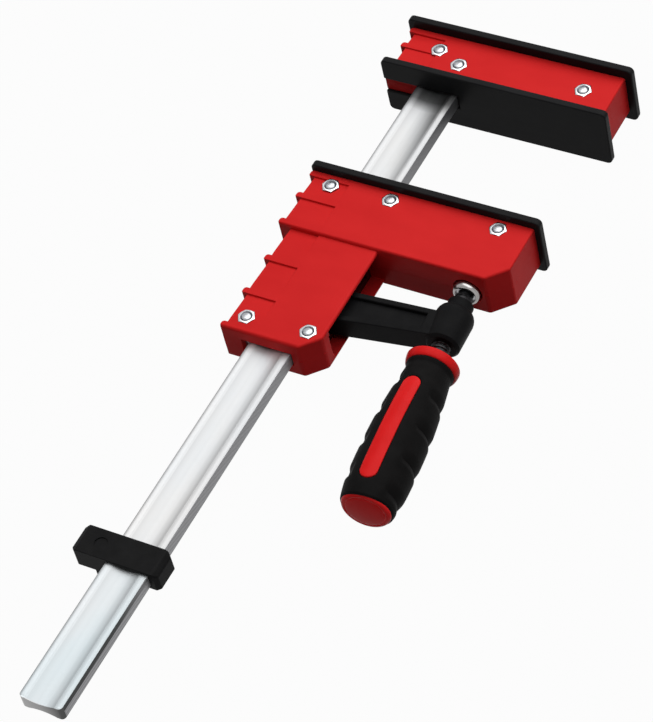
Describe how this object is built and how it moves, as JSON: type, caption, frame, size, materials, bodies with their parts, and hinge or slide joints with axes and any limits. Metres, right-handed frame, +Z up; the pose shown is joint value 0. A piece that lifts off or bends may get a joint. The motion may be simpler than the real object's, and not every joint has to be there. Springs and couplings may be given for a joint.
{
  "type": "parallel clamp",
  "caption": "Parallel clamp: deep red fixed and sliding jaws with black pads on a grooved steel rail, a leaning screw with a thick handle, a slide arm and a rail clip.",
  "frame": {"origin": "on the bench under the middle of the part's box, with the clamp lying flat on its pads", "axes": "+Y along the rail to the fixed jaw, +X along the jaws to their tips, +Z up through the thickness to the side with the nuts"},
  "size_m": [0.1646, 0.5444, 0.044],
  "materials": {
    "rail_zinc": "bright zinc plate with fine lengthwise drawing marks",
    "red_shell": "satin moulded nylon",
    "cast_core": "as cast",
    "black_pad": "smooth moulded, slight shine",
    "fastener_zinc": "bright zinc plate",
    "plain_steel": "plain, oiled",
    "cap_nickel": "nickel plate",
    "washer_bronze": "plain",
    "screw_black": "black oxide, oiled",
    "handle_red": "glossy moulded",
    "grip_black": "soft, matt",
    "arm_black": "satin black paint over casting",
    "clip_black": "fine moulded grain"
  },
  "bodies": {
    "rail": {"rail": "rail_zinc", "fixed_jaw_upper_shell": "red_shell", "fixed_jaw_lower_shell": "red_shell", "fixed_jaw_core": "cast_core", "fixed_front_pad": "black_pad", "fixed_back_pad": "black_pad", "fixed_jaw_bolts": "fastener_zinc", "fixed_jaw_nuts": "fastener_zinc"},
    "sliding_jaw": {"sliding_jaw_upper_shell": "red_shell", "sliding_jaw_lower_shell": "red_shell", "sliding_jaw_core": "cast_core", "lower_rail_guide": "plain_steel", "sliding_jaw_pad": "black_pad", "sliding_jaw_bolts": "fastener_zinc", "sliding_jaw_nuts": "fastener_zinc", "brake_spring": "plain_steel", "swivel_pin": "plain_steel"},
    "swivel": {"swivel_cap": "cap_nickel", "thrust_washer": "washer_bronze", "retaining_ring": "plain_steel"},
    "screw": {"spindle": "screw_black", "handle_core": "handle_red", "handle_grip": "grip_black", "handle_end_cap": "handle_red", "handle_pin": "plain_steel"},
    "arm": {"slide_arm": "arm_black"},
    "clip": {"rail_clip": "clip_black"}
  },
  "joints": [
    {"name": "jaw_slide", "type": "slide", "parent": "rail", "child": "sliding_jaw", "axis": [0, 1, 0], "range_m": [-0.155, 0.0905]},
    {"name": "arm_rock", "type": "hinge", "parent": "sliding_jaw", "child": "swivel", "pos_m": [0.04618, 0.09885, 0.022], "axis": [0, 0, 1], "range_deg": [-2, 0]},
    {"name": "handle_turn", "type": "hinge", "parent": "swivel", "child": "screw", "pos_m": [0.04618, 0.09885, 0.022], "axis": [-0.1045, 0.9945, 0], "range_deg": [-600, 900]},
    {"name": "arm_travel", "type": "slide", "parent": "swivel", "child": "arm", "axis": [0.1045, -0.9945, 0], "range_m": [-0.005, 0.0075]},
    {"name": "clip_slide", "type": "slide", "parent": "rail", "child": "clip", "axis": [0, 1, 0], "range_m": [-0.094, 0]}
  ],
  "couplings": [
    {"joint": "handle_turn", "follows": "arm_travel", "rad_per_m": 2094.4}
  ]
}
